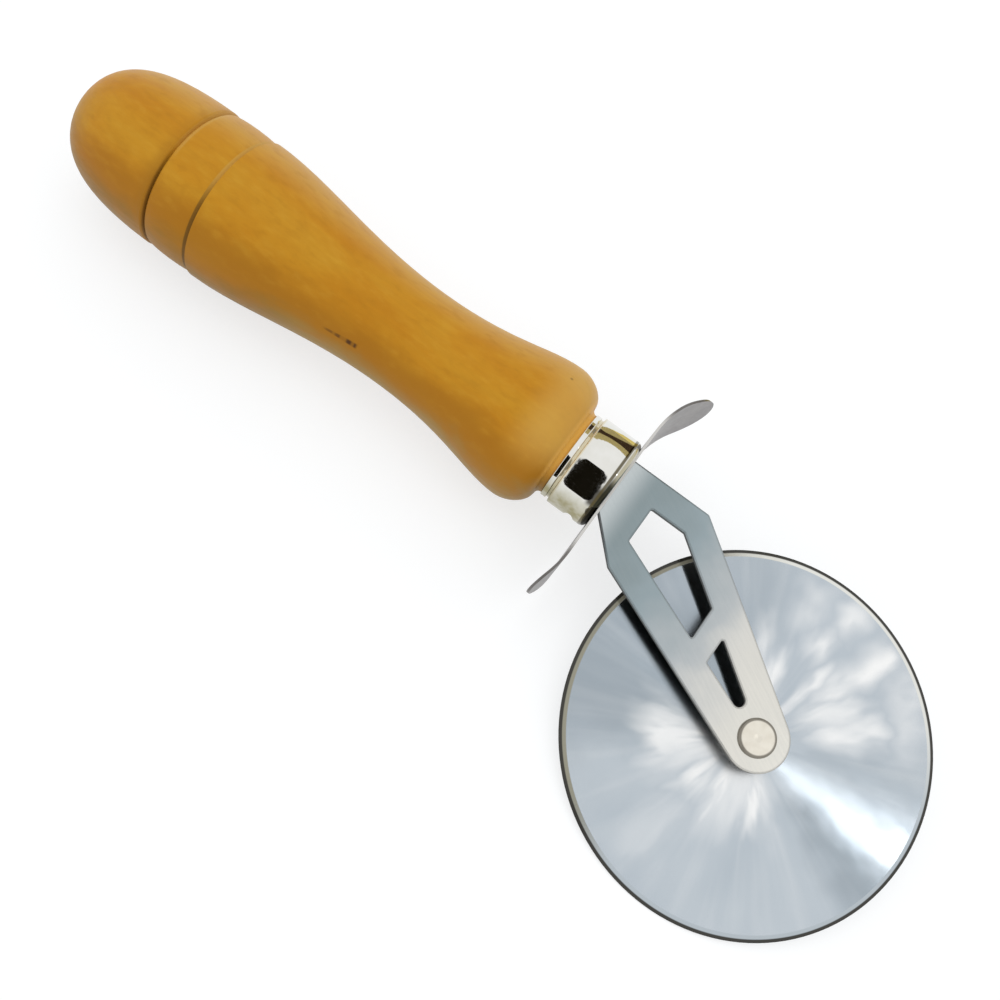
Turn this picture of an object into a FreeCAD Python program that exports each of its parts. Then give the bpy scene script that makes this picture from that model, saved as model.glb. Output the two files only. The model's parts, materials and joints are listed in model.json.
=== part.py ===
# Pizza cutter: a steel wheel on a single stamped arm, with a finger guard,
# a plated ferrule and a turned wooden handle. Millimetres, +Z up.
#
# The tool is drawn flat: X runs along the handle from the grip's waist to the
# wheel, and the wheel lies in the XY plane. Every piece is then rolled about X
# by one angle, so that the handle and the back of the wheel's ground edge both touch
# the table. The origin stays on the handle's axis, at the waist where a hand closes.
import FreeCAD, Part
import Sketcher
import math
import os
import re

Vector = FreeCAD.Vector

# A cubic's middle rises this share of its handles' height
CURVE_RISE_SHARE = 0.75
# How closely an edge has to match the size that it is found by
MATCH_SHARE = 1e-4

# Driving dimensions. Angles are in degrees and shares are fractions.
DIMS = {
    # Handle, from the butt to the ferrule
    "butt_length": 28.9,
    "band_length": 11.55,
    "taper_length": 47.7,
    "swell_length": 33.5,
    "shoulder_length": 7.1,
    "neck_length": 1.2,
    "butt_radius": 16.9,
    "band_radius": 16.65,
    "band_crown": 0.35,
    "grip_radius": 17.05,
    "waist_radius": 12.1,
    "bulb_radius": 16.3,
    "neck_radius": 9.95,
    "groove_width": 1.0,
    "groove_depth": 0.6,
    "groove_lip_round": 0.6,
    "step_groove_width": 1.1,
    "step_groove_depth": 0.4,
    "dome_nose_share": 0.73,
    "dome_side_share": 0.7,
    "taper_start_share": 0.29,
    "taper_end_share": 0.42,
    "swell_start_share": 0.54,
    "swell_end_share": 0.24,
    "shoulder_side_share": 0.5,
    "shoulder_front_share": 0.5,
    "crown_share": 0.5,
    # Ferrule
    "ferrule_length": 11.75,
    "ferrule_bore_radius": 9.6,
    "ferrule_front_wall": 0.9,
    "bead_length": 1.4,
    "bead_radius": 10.4,
    "bead_round": 0.3,
    "rolled_groove_length": 0.6,
    "rolled_groove_radius": 10.0,
    "ferrule_radius": 10.85,
    "ferrule_shoulder_round": 1.4,
    "ferrule_lip_round": 0.3,
    "stake_radius": 1.6,
    "stake_depth": 0.6,
    "stake_place_share": 0.655,
    "stake_angle": 195.5,
    # Finger guard
    "guard_thickness": 0.55,
    "forward_wing_span": 28.2,
    "backward_wing_span": 29.3,
    "wing_half_width": 7.3,
    "wing_place": 20.5,
    "guard_waist_half_width": 6.2,
    "guard_bend_radius": 20.0,
    "forward_bend_start": 11.5,
    "forward_bend_angle": 31.0,
    "backward_bend_start": 20.5,
    "backward_bend_angle": 17.0,
    "guard_bend_skew": 12.0,
    "wing_swell_share": 0.5,
    "wing_tip_share": 0.62,
    # Arm and its tang
    "arm_thickness": 1.2,
    "root_upper_width": 7.4,
    "root_lower_width": 6.7,
    "upper_corner_place": 19.4,
    "lower_corner_place": 8.4,
    "lower_corner_drop": 8.3,
    "arm_end_radius": 7.1,
    "upper_strap": 6.5,
    "lower_strap": 6.85,
    "window_place": 8.8,
    "window_length": 22.2,
    "bridge_width": 5.3,
    "corner_round": 1.2,
    "window_round": 0.4,
    "slot_end_round": 1.4,
    "arm_edge_width": 0.35,
    "arm_edge_angle": 30.0,
    "tang_width": 8.0,
    "tang_length": 44.0,
    "tang_point_length": 9.0,
    "tang_point_width": 2.0,
    # Wheel, measured from the front of the guard and from the handle's axis
    "wheel_reach": 53.1,
    "wheel_drop": 25.4,
    "wheel_radius": 40.0,
    "wheel_gap": 3.9,
    "blade_thickness": 1.0,
    "bevel_width": 1.5,
    "edge_thickness": 0.15,
    # Axle
    "shank_radius": 2.5,
    "rivet_head_radius": 4.1,
    "rivet_head_height": 0.8,
    "rivet_head_round": 0.6,
    "rivet_dimple_radius": 0.9,
    "rivet_dimple_depth": 0.08,
    "rivet_tail_radius": 3.7,
    "rivet_tail_height": 1.3,
    "tail_crown_share": 0.6,
    "washer_radius": 5.5,
    "washer_thickness": 0.5,
    "hub_radius": 5.0,
    "hub_seat_radius": 4.0,
    "hub_round": 0.3,
    "hub_tail_height": 0.3,
    "running_clearance": 0.05,
    "end_clearance": 0.05,
    # How far every cut runs past the material
    "cut_overrun": 5.0,
}

# Places that follow from the driving dimensions
PLACES = {
    "groove_two_x": "-taper_length",
    "groove_one_x": "groove_two_x - band_length",
    "butt_end_x": "groove_one_x - butt_length",
    "butt_lip_x": "groove_one_x - groove_width / 2",
    "band_start_x": "groove_one_x + groove_width / 2",
    "band_end_x": "groove_two_x - step_groove_width",
    "dome_length": "butt_lip_x - butt_end_x",
    "band_span": "band_end_x - band_start_x",
    "neck_x": "swell_length + shoulder_length",
    "ferrule_back_x": "neck_x + neck_length",
    "ferrule_front_x": "ferrule_back_x + ferrule_length",
    "tenon_end_x": "ferrule_front_x - ferrule_front_wall",
    "bead_end_x": "ferrule_back_x + bead_length",
    "band_back_x": "bead_end_x + rolled_groove_length",
    "guard_front_x": "ferrule_front_x + guard_thickness",
    "tang_end_x": "guard_front_x - tang_length",
    "wheel_x": "guard_front_x + wheel_reach",
    "arm_back_z": "-arm_thickness / 2",
    "blade_front_z": "arm_back_z - wheel_gap",
    "blade_back_z": "blade_front_z - blade_thickness",
    "blade_middle_z": "blade_front_z - blade_thickness / 2",
    "hub_front_z": "arm_back_z - washer_thickness - end_clearance",
    "hub_back_z": "blade_back_z - hub_tail_height",
    "washer_front_z": "hub_back_z - end_clearance",
    "tail_front_z": "washer_front_z - washer_thickness",
    "hub_bore_radius": "shank_radius + running_clearance",
}

doc = FreeCAD.newDocument("PizzaCutter")


def formula(text):
    """Turn a sum of named sizes into an expression that reads the two sheets."""

    def sheet_name(match):
        word = match.group()
        if word in DIMS:
            return "Dims." + word
        if word in PLACES:
            return "Places." + word
        return word

    return re.sub(r"[a-z][a-z_]*", sheet_name, text)


def make_sheet(name, cells):
    sheet = doc.addObject("Spreadsheet::Sheet", name)
    for row, (alias, content) in enumerate(cells, start=1):
        sheet.set(f"A{row}", alias)
        sheet.set(f"B{row}", content)
        sheet.setAlias(f"B{row}", alias)
    return sheet


dims = make_sheet("Dims", [(name, str(value)) for name, value in DIMS.items()])
doc.recompute()
make_sheet("Places", [(name, "=" + formula(text)) for name, text in PLACES.items()])
doc.recompute()


def size(text):
    """The number that a sum of named sizes comes to."""
    return float(dims.evalExpression(formula(text)))


# Sketch helpers
def new_body(label):
    body = doc.addObject("PartDesign::Body", label)
    body.Label = label
    return body


def new_sketch(body, plane, name):
    """A sketch on one of the body's own origin planes."""
    sketch = body.newObject("Sketcher::SketchObject", name)
    support = next(item for item in body.Origin.OriginFeatures if item.Role == plane)
    sketch.AttachmentSupport = [(support, "")]
    sketch.MapMode = "FlatFace"
    return sketch


def point(pair):
    return Vector(size(pair[0]), size(pair[1]), 0)


def bind(sketch, constraint, text):
    index = sketch.addConstraint(constraint)
    sketch.setExpression(f"Constraints[{index}]", formula(text))


def pin(sketch, geometry, position, pair):
    """Hold a sketch point at two named sums, measured from the sketch's origin."""
    for kind, axis, text in (("DistanceX", -2, pair[0]), ("DistanceY", -1, pair[1])):
        if text == "0":
            sketch.addConstraint(Sketcher.Constraint("PointOnObject", geometry, position, axis))
        else:
            bind(sketch, Sketcher.Constraint(kind, -1, 1, geometry, position, size(text)), text)


def add_arc(sketch, start, end, radius, turn):
    """An arc between two points. turn is 1 when it goes anticlockwise and -1 when clockwise."""
    chord = end - start
    middle = (start + end) / 2
    across = Vector(-chord.y, chord.x, 0).normalize()
    rise = math.sqrt(radius**2 - (chord.Length / 2) ** 2)
    centre = middle + across * rise * turn
    first, last = (start, end) if turn > 0 else (end, start)
    begin = math.atan2(first.y - centre.y, first.x - centre.x)
    finish = math.atan2(last.y - centre.y, last.x - centre.x)
    circle = Part.Circle(centre, Vector(0, 0, 1), radius)
    return sketch.addGeometry(Part.ArcOfCircle(circle, begin, finish))


def draw_outline(sketch, start, steps):
    """Draw a closed outline, every corner pinned by named sums.

    A step is ("line", end), ("arc", end, radius, turn) or
    ("curve", handle, handle, end), where the curve is a cubic with two handles.
    """
    here = start
    ends = []
    for kind, *rest in steps:
        if kind == "line":
            here, before = rest[0], here
            item = sketch.addGeometry(Part.LineSegment(point(before), point(here)))
            ends.append((item, 1, 2, here))
        elif kind == "arc":
            here, before = rest[0], here
            item = add_arc(sketch, point(before), point(here), size(rest[1]), rest[2])
            bind(sketch, Sketcher.Constraint("Radius", item, size(rest[1])), rest[1])
            ends.append((item, 1, 2, here) if rest[2] > 0 else (item, 2, 1, here))
        else:
            poles = [point(pair) for pair in (here, *rest)]
            here = rest[2]
            item = sketch.addGeometry(Part.BSplineCurve(poles, None, None, False, 3, None, False))
            sketch.exposeInternalGeometry(item)
            pin(sketch, item + 2, 3, rest[0])
            pin(sketch, item + 3, 3, rest[1])
            ends.append((item, 1, 2, here))
    for (item, _, last, where), (after, first, _, _) in zip(ends, ends[1:] + ends[:1]):
        sketch.addConstraint(Sketcher.Constraint("Coincident", item, last, after, first))
        pin(sketch, item, last, where)


def draw_rectangle(sketch, low, high):
    corners = [(high[0], low[1]), high, (low[0], high[1]), low]
    draw_outline(sketch, low, [("line", corner) for corner in corners])


def draw_circle(sketch, centre, radius):
    item = sketch.addGeometry(Part.Circle(point(centre), Vector(0, 0, 1), size(radius)))
    bind(sketch, Sketcher.Constraint("Radius", item, size(radius)), radius)
    pin(sketch, item, 3, centre)


# Feature helpers
def revolve(body, sketch, axis):
    feature = body.newObject("PartDesign::Revolution", "Turned")
    feature.Profile = sketch
    feature.ReferenceAxis = (sketch, [axis])
    feature.Angle = 360
    doc.recompute()


def pad(body, sketch, length):
    feature = body.newObject("PartDesign::Pad", "Plate")
    feature.Profile = sketch
    feature.SideType = "Symmetric"
    feature.setExpression("Length", formula(length))
    doc.recompute()
    return feature


def pocket(body, sketch, length):
    """Cut the sketch to both sides of its plane and make sure that it took material."""
    before = body.Shape.Volume
    feature = body.newObject("PartDesign::Pocket", "Cut")
    feature.Profile = sketch
    feature.SideType = "Symmetric"
    feature.setExpression("Length", formula(length))
    doc.recompute()
    if not body.Shape.Volume < before:
        raise RuntimeError(f"{sketch.Name} cuts nothing")


def fillet(body, name, edges, text):
    """Round edges of the body's last feature."""
    last = body.Tip
    feature = body.newObject("PartDesign::Fillet", name)
    feature.Base = (last, edges)
    feature.setExpression("Radius", formula(text))
    doc.recompute()


def ring_edges(body, along, place, radius):
    """Names of the full circles of one radius that stand at one place along an axis."""
    names = []
    for number, edge in enumerate(body.Shape.Edges, start=1):
        curve = None if edge.Degenerated else edge.Curve
        if not isinstance(curve, Part.Circle) or not edge.isClosed():
            continue
        offset = abs(curve.Center.dot(along) - place)
        if offset < radius * MATCH_SHARE and abs(curve.Radius - radius) < radius * MATCH_SHARE:
            names.append(f"Edge{number}")
    return names


def upright_edges(body, corners, plate):
    """Names of the edges that run through the plate's thickness at the given corners."""
    names = []
    for number, edge in enumerate(body.Shape.Edges, start=1):
        ends = [vertex.Point for vertex in edge.Vertexes]
        for corner in corners:
            misses = [math.hypot(end.x - corner.x, end.y - corner.y) for end in ends]
            if max(misses) < plate * MATCH_SHARE:
                names.append(f"Edge{number}")
    return names


def handle():
    """Turned wood: rounded butt, two grooves, waist, bulb, cove and the tenon under the ferrule."""
    body = new_body("handle")
    sketch = new_sketch(body, "XY_Plane", "HandleProfile")
    dome = [
        ("butt_end_x", "butt_radius * dome_nose_share"),
        ("butt_lip_x - dome_length * dome_side_share", "butt_radius"),
        ("butt_lip_x", "butt_radius"),
    ]
    crest = f"band_radius + band_crown / {CURVE_RISE_SHARE}"
    crown = [
        ("band_start_x + band_span * crown_share / 2", crest),
        ("band_end_x - band_span * crown_share / 2", crest),
        ("band_end_x", "band_radius"),
    ]
    taper = [
        ("groove_two_x + taper_length * taper_start_share", "grip_radius"),
        ("-taper_length * taper_end_share", "waist_radius"),
        ("0", "waist_radius"),
    ]
    swell = [
        ("swell_length * swell_start_share", "waist_radius"),
        ("swell_length * (1 - swell_end_share)", "bulb_radius"),
        ("swell_length", "bulb_radius"),
    ]
    cove_radius = "(neck_radius + neck_length)"
    shoulder_drop = f"(bulb_radius - {cove_radius})"
    shoulder = [
        ("swell_length + shoulder_length * shoulder_side_share", "bulb_radius"),
        ("neck_x", f"{cove_radius} + {shoulder_drop} * shoulder_front_share"),
        ("neck_x", cove_radius),
    ]
    draw_outline(
        sketch,
        ("butt_end_x", "0"),
        [
            ("curve", *dome),
            ("line", ("groove_one_x", "band_radius - groove_depth")),
            ("line", ("band_start_x", "band_radius")),
            ("curve", *crown),
            ("line", ("groove_two_x", "band_radius - step_groove_depth")),
            ("line", ("groove_two_x", "grip_radius")),
            ("curve", *taper),
            ("curve", *swell),
            ("curve", *shoulder),
            ("arc", ("ferrule_back_x", "neck_radius"), "neck_length", 1),
            ("line", ("ferrule_back_x", "ferrule_bore_radius")),
            ("line", ("tenon_end_x", "ferrule_bore_radius")),
            ("line", ("tenon_end_x", "0")),
            ("line", ("butt_end_x", "0")),
        ],
    )
    revolve(body, sketch, "H_Axis")
    along = Vector(1, 0, 0)
    lips = ring_edges(body, along, size("butt_lip_x"), size("butt_radius"))
    lips += ring_edges(body, along, size("band_start_x"), size("band_radius"))
    fillet(body, "GrooveLips", lips, "groove_lip_round")
    slot = new_sketch(body, "XY_Plane", "TangHole")
    draw_tang(slot, "tenon_end_x + cut_overrun")
    pocket(body, slot, "arm_thickness")
    return body


def draw_tang(sketch, root_x):
    """The tang's outline, from its blunt point in the wood to a root further forward."""
    shoulder_x = "tang_end_x + tang_point_length"
    draw_outline(
        sketch,
        ("tang_end_x", "tang_point_width / 2"),
        [
            ("line", ("tang_end_x", "-tang_point_width / 2")),
            ("line", (shoulder_x, "-tang_width / 2")),
            ("line", (root_x, "-tang_width / 2")),
            ("line", (root_x, "tang_width / 2")),
            ("line", (shoulder_x, "tang_width / 2")),
            ("line", ("tang_end_x", "tang_point_width / 2")),
        ],
    )


def draw_tang_slot(sketch):
    """The hole that the tang passes through, on a plane square to the handle."""
    draw_rectangle(
        sketch,
        ("-tang_width / 2", "-arm_thickness / 2"),
        ("tang_width / 2", "arm_thickness / 2"),
    )


def ferrule():
    """Plated collar: bead, rolled groove, band, one stake and a closed front with the tang's slot."""
    body = new_body("ferrule")
    sketch = new_sketch(body, "XY_Plane", "FerruleProfile")
    draw_outline(
        sketch,
        ("ferrule_back_x", "ferrule_bore_radius"),
        [
            ("line", ("ferrule_back_x", "bead_radius")),
            ("line", ("bead_end_x", "bead_radius")),
            ("line", ("bead_end_x", "rolled_groove_radius")),
            ("line", ("band_back_x", "rolled_groove_radius")),
            ("line", ("band_back_x", "ferrule_radius")),
            ("line", ("ferrule_front_x", "ferrule_radius")),
            ("line", ("ferrule_front_x", "0")),
            ("line", ("tenon_end_x", "0")),
            ("line", ("tenon_end_x", "ferrule_bore_radius")),
            ("line", ("ferrule_back_x", "ferrule_bore_radius")),
        ],
    )
    revolve(body, sketch, "H_Axis")
    along = Vector(1, 0, 0)
    front = ring_edges(body, along, size("ferrule_front_x"), size("ferrule_radius"))
    fillet(body, "FrontShoulder", front, "ferrule_shoulder_round")
    band = ring_edges(body, along, size("band_back_x"), size("ferrule_radius"))
    fillet(body, "BandLip", band, "ferrule_lip_round")
    bead = ring_edges(body, along, size("ferrule_back_x"), size("bead_radius"))
    bead += ring_edges(body, along, size("bead_end_x"), size("bead_radius"))
    fillet(body, "Bead", bead, "bead_round")
    slot = new_sketch(body, "YZ_Plane", "TangSlot")
    draw_tang_slot(slot)
    pocket(body, slot, "2 * ferrule_front_x + cut_overrun")
    before = body.Shape.Volume
    stake = body.newObject("PartDesign::SubtractiveCylinder", "Stake")
    stake.setExpression("Radius", formula("stake_radius"))
    stake.setExpression("Height", formula("2 * ferrule_radius"))
    stake.Placement = FreeCAD.Placement(Vector(), FreeCAD.Rotation(along, size("stake_angle")))
    reach = "(ferrule_radius - stake_depth + stake_radius)"
    turn = "(stake_angle * 1 deg)"
    across = f"{reach} * cos{turn} + ferrule_radius * sin{turn}"
    upward = f"{reach} * sin{turn} - ferrule_radius * cos{turn}"
    stake.setExpression("Placement.Base.x", formula("ferrule_back_x + ferrule_length * stake_place_share"))
    stake.setExpression("Placement.Base.y", formula(across))
    stake.setExpression("Placement.Base.z", formula(upward))
    stake.setExpression("Placement.Rotation.Angle", formula("stake_angle * 1 deg"))
    doc.recompute()
    if not body.Shape.Volume < before:
        raise RuntimeError("the stake cuts nothing")
    return body


def finger_guard():
    """Bent sheet with two paddle wings, one pushed forward and one a little back."""
    body = new_body("finger_guard")
    section = new_sketch(body, "XY_Plane", "GuardSection")
    forward = "(forward_bend_angle * 1 deg)"
    backward = "(backward_bend_angle * 1 deg)"
    outer_radius = "(guard_bend_radius + guard_thickness)"

    def forward_arc(radius):
        """Where the arc of one face of the forward wing ends."""
        return (
            f"guard_front_x + guard_bend_radius - {radius} * cos{forward}",
            f"forward_bend_start + {radius} * sin{forward}",
        )

    def backward_arc(radius):
        """Where the arc of one face of the backward wing ends."""
        return (
            f"ferrule_front_x - guard_bend_radius + {radius} * cos{backward}",
            f"-backward_bend_start - {radius} * sin{backward}",
        )

    def forward_tip(arc):
        reach = "(forward_wing_span + cut_overrun)"
        return (f"{arc[0]} + {reach} * sin{forward}", f"{arc[1]} + {reach} * cos{forward}")

    def backward_tip(arc):
        reach = "(backward_wing_span + cut_overrun)"
        return (f"{arc[0]} - {reach} * sin{backward}", f"{arc[1]} - {reach} * cos{backward}")

    front_up = forward_arc("guard_bend_radius")
    back_up = forward_arc(outer_radius)
    back_down = backward_arc("guard_bend_radius")
    front_down = backward_arc(outer_radius)
    draw_outline(
        section,
        ("guard_front_x", "-backward_bend_start"),
        [
            ("line", ("guard_front_x", "forward_bend_start")),
            ("arc", front_up, "guard_bend_radius", -1),
            ("line", forward_tip(front_up)),
            ("line", forward_tip(back_up)),
            ("line", back_up),
            ("arc", ("ferrule_front_x", "forward_bend_start"), outer_radius, 1),
            ("line", ("ferrule_front_x", "-backward_bend_start")),
            ("arc", back_down, "guard_bend_radius", -1),
            ("line", backward_tip(back_down)),
            ("line", backward_tip(front_down)),
            ("line", front_down),
            ("arc", ("guard_front_x", "-backward_bend_start"), outer_radius, 1),
        ],
    )
    sheet = pad(body, section, "2 * (wing_half_width + cut_overrun)")
    skew = math.radians(size("guard_bend_skew"))
    sheet.UseCustomVector = True
    sheet.Direction = Vector(0, math.sin(skew), math.cos(skew))
    doc.recompute()
    outline = new_sketch(body, "YZ_Plane", "GuardOutline")
    draw_wings(outline)
    flat = "forward_bend_start + backward_bend_start"
    far = f"({flat} + {outer_radius} + forward_wing_span + backward_wing_span + cut_overrun)"
    draw_rectangle(outline, (f"-{far}", f"-{far}"), (far, far))
    pocket(body, outline, "(guard_front_x + forward_wing_span) * 2 + cut_overrun")
    slot = new_sketch(body, "YZ_Plane", "GuardSlot")
    draw_tang_slot(slot)
    pocket(body, slot, "2 * guard_front_x + cut_overrun")
    return body


def draw_wings(sketch):
    """The guard's outline as stamped: a drawn-in middle and two rounded paddles."""

    def quarter(side, span, above):
        """From the middle out to the tip, on one side and above or below the axis."""
        waist = f"{above} * guard_waist_half_width"
        wing = f"{above} * wing_half_width"
        swell = "wing_place * wing_swell_share"
        tip_run = f"({span} - wing_place) * wing_tip_share"
        return [
            [
                (f"{side} * {swell}", waist),
                (f"{side} * (wing_place - {swell})", wing),
                (f"{side} * wing_place", wing),
            ],
            [
                (f"{side} * (wing_place + {tip_run})", wing),
                (f"{side} * {span}", f"{wing} * wing_tip_share"),
                (f"{side} * {span}", "0"),
            ],
        ]

    def back(curves, start):
        """The same curves, followed from the tip to the middle."""
        first, second = curves
        return [
            [second[1], second[0], first[2]],
            [first[1], first[0], start],
        ]

    top = ("0", "guard_waist_half_width")
    bottom = ("0", "-guard_waist_half_width")
    curves = quarter("1", "forward_wing_span", "1")
    curves += back(quarter("1", "forward_wing_span", "-1"), bottom)
    curves += quarter("-1", "backward_wing_span", "-1")
    curves += back(quarter("-1", "backward_wing_span", "1"), top)
    draw_outline(sketch, top, [("curve", *curve) for curve in curves])


def wheel_arm():
    """Flat stamped plate: tang, root, two straps round two windows, and a round end."""
    body = new_body("wheel_arm")
    sketch = new_sketch(body, "XY_Plane", "ArmOutline")
    draw_tang(sketch, "guard_front_x")
    pad(body, sketch, "arm_thickness")
    plate = new_sketch(body, "XY_Plane", "ArmPlate")
    outer, window, slot = draw_arm_plate(plate)
    pad(body, plate, "arm_thickness")
    for name, corners, text in (
        ("OuterCorners", outer, "corner_round"),
        ("WindowCorners", window + slot, "window_round"),
    ):
        fillet(body, name, upright_edges(body, corners, size("arm_thickness")), text)
    slope_edges(body, "guard_front_x")
    hole = new_sketch(body, "XY_Plane", "RivetHole")
    draw_circle(hole, ("wheel_x", "-wheel_drop"), "shank_radius")
    pocket(body, hole, "arm_thickness + cut_overrun")
    return body


def slope_edges(body, root):
    """Slope off the edges of the plate's front face, ahead of its root, as the stamping left them."""
    last = body.Tip
    names = []
    for number, edge in enumerate(body.Shape.Edges, start=1):
        box = edge.BoundBox
        if box.ZMin > 0 and box.XMax > size(f"{root} + arm_thickness"):
            names.append(f"Edge{number}")
    feature = body.newObject("PartDesign::Chamfer", "StampedEdge")
    feature.Base = (last, names)
    feature.ChamferType = "Distance and Angle"
    feature.FlipDirection = True
    feature.setExpression("Size", formula("arm_edge_width"))
    feature.setExpression("Angle", formula("arm_edge_angle"))
    doc.recompute()


def tangent_point(corner, centre, radius, side):
    """Where a line from a corner touches a circle, on the side given by the sign."""
    to_centre = centre - corner
    half = math.asin(radius / to_centre.Length)
    heading = math.atan2(to_centre.y, to_centre.x) + side * half
    run = math.sqrt(to_centre.Length**2 - radius**2)
    return corner + Vector(math.cos(heading), math.sin(heading), 0) * run


def crossing(first, along, second, across):
    """Where two lines cross, each given by a point and a direction."""
    gap = second - first
    run = along.x * across.y - along.y * across.x
    return first + along * ((gap.x * across.y - gap.y * across.x) / run)


def draw_arm_plate(sketch):
    """Outer edge and both windows, whose sides follow the edges because the straps keep one width.

    Returns the corners to be rounded: two outer ones, the window's and the slot's wide end.
    """
    root_x = size("guard_front_x")
    top = size("root_upper_width")
    bottom = -size("root_lower_width")
    centre = Vector(size("wheel_x"), -size("wheel_drop"), 0)
    end_radius = size("arm_end_radius")
    upper_root = Vector(root_x, top, 0)
    lower_root = Vector(root_x, bottom, 0)
    upper_corner = Vector(root_x + size("upper_corner_place"), top, 0)
    lower_corner = Vector(root_x + size("lower_corner_place"), bottom - size("lower_corner_drop"), 0)
    upper_touch = tangent_point(upper_corner, centre, end_radius, 1)
    lower_touch = tangent_point(lower_corner, centre, end_radius, -1)
    corners = [lower_touch, lower_corner, lower_root, upper_root, upper_corner, upper_touch]
    lower_edge, flare, root, upper_side, upper_edge = draw_run(sketch, corners)
    end = add_arc(sketch, lower_touch, upper_touch, end_radius, 1)
    sketch.addConstraint(Sketcher.Constraint("Tangent", end, 1, lower_edge, 1))
    sketch.addConstraint(Sketcher.Constraint("Tangent", upper_edge, 2, end, 2))
    bind(sketch, Sketcher.Constraint("Radius", end, end_radius), "arm_end_radius")
    pin(sketch, end, 3, ("wheel_x", "-wheel_drop"))
    pin(sketch, root, 1, ("guard_front_x", "-root_lower_width"))
    pin(sketch, root, 2, ("guard_front_x", "root_upper_width"))
    pin(sketch, upper_side, 2, ("guard_front_x + upper_corner_place", "root_upper_width"))
    low = ("guard_front_x + lower_corner_place", "-root_lower_width - lower_corner_drop")
    pin(sketch, lower_edge, 2, low)

    # Inner edges of the straps, set in from the outer edges
    upper_along = (upper_touch - upper_corner).normalize()
    lower_along = (lower_touch - lower_corner).normalize()
    inward_up = Vector(upper_along.y, -upper_along.x, 0)
    inward_low = Vector(-lower_along.y, lower_along.x, 0)
    upper_inner = upper_corner + inward_up * size("upper_strap")
    lower_inner = lower_corner + inward_low * size("lower_strap")
    upright = Vector(0, 1, 0)
    level = Vector(1, 0, 0)
    start_x = root_x + size("window_place")
    end_x = start_x + size("window_length")
    slot_x = end_x + size("bridge_width")

    def on_upper(x):
        return crossing(upper_inner, upper_along, Vector(x, 0, 0), upright)

    def on_lower(x):
        return crossing(lower_inner, lower_along, Vector(x, 0, 0), upright)

    side_y = top - size("upper_strap")
    side_corner = crossing(upper_inner, upper_along, Vector(0, side_y, 0), level)
    window = [Vector(start_x, side_y, 0), side_corner, on_upper(end_x), on_lower(end_x), on_lower(start_x)]
    side, over, far, under, near = draw_loop(sketch, window)
    sketch.addConstraint(Sketcher.Constraint("Horizontal", side))

    # The slot ends in an arc that touches both straps
    tip_radius = size("slot_end_round")
    upper_set_in = upper_inner + inward_up * tip_radius
    lower_set_in = lower_inner + inward_low * tip_radius
    tip = crossing(upper_set_in, upper_along, lower_set_in, lower_along)
    upper_tip = tip - inward_up * tip_radius
    lower_tip = tip - inward_low * tip_radius
    slot = [on_lower(slot_x), on_upper(slot_x)]
    slot_under, slot_near, slot_over = draw_run(sketch, [lower_tip, *slot, upper_tip])
    slot_end = add_arc(sketch, upper_tip, lower_tip, tip_radius, -1)
    sketch.addConstraint(Sketcher.Constraint("Tangent", slot_over, 2, slot_end, 2))
    sketch.addConstraint(Sketcher.Constraint("Tangent", slot_end, 1, slot_under, 1))
    bind(sketch, Sketcher.Constraint("Radius", slot_end, tip_radius), "slot_end_round")
    for upright_line in (far, near, slot_near):
        sketch.addConstraint(Sketcher.Constraint("Vertical", upright_line))
    for line, edge, strap in (
        (over, upper_edge, "upper_strap"),
        (slot_over, upper_edge, "upper_strap"),
        (under, lower_edge, "lower_strap"),
        (slot_under, lower_edge, "lower_strap"),
    ):
        sketch.addConstraint(Sketcher.Constraint("Parallel", line, edge))
        bind(sketch, Sketcher.Constraint("Distance", line, 1, edge, size(strap)), strap)
    window_x = "guard_front_x + window_place"
    for line, text in (
        (near, window_x),
        (far, window_x + " + window_length"),
        (slot_near, window_x + " + window_length + bridge_width"),
    ):
        bind(sketch, Sketcher.Constraint("DistanceX", -1, 1, line, 1, size(text)), text)
    side_text = "root_upper_width - upper_strap"
    bind(sketch, Sketcher.Constraint("DistanceY", -1, 1, side, 1, size(side_text)), side_text)
    return [upper_corner, lower_corner], window, slot


def draw_run(sketch, corners):
    """Lines from corner to corner, joined end to end. Returns them in order."""
    lines = [sketch.addGeometry(Part.LineSegment(a, b)) for a, b in zip(corners, corners[1:])]
    for first, second in zip(lines, lines[1:]):
        sketch.addConstraint(Sketcher.Constraint("Coincident", first, 2, second, 1))
    return lines


def draw_loop(sketch, corners):
    """A closed run of lines through the corners. Returns the lines in order."""
    lines = draw_run(sketch, corners + corners[:1])
    sketch.addConstraint(Sketcher.Constraint("Coincident", lines[-1], 2, lines[0], 1))
    return lines


def turned_on_axle(label, start, steps):
    """A piece turned about the wheel's axis, which is its own Z axis."""
    body = new_body(label)
    sketch = new_sketch(body, "XZ_Plane", label + "_profile")
    draw_outline(sketch, start, steps)
    revolve(body, sketch, "V_Axis")
    return body


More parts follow.
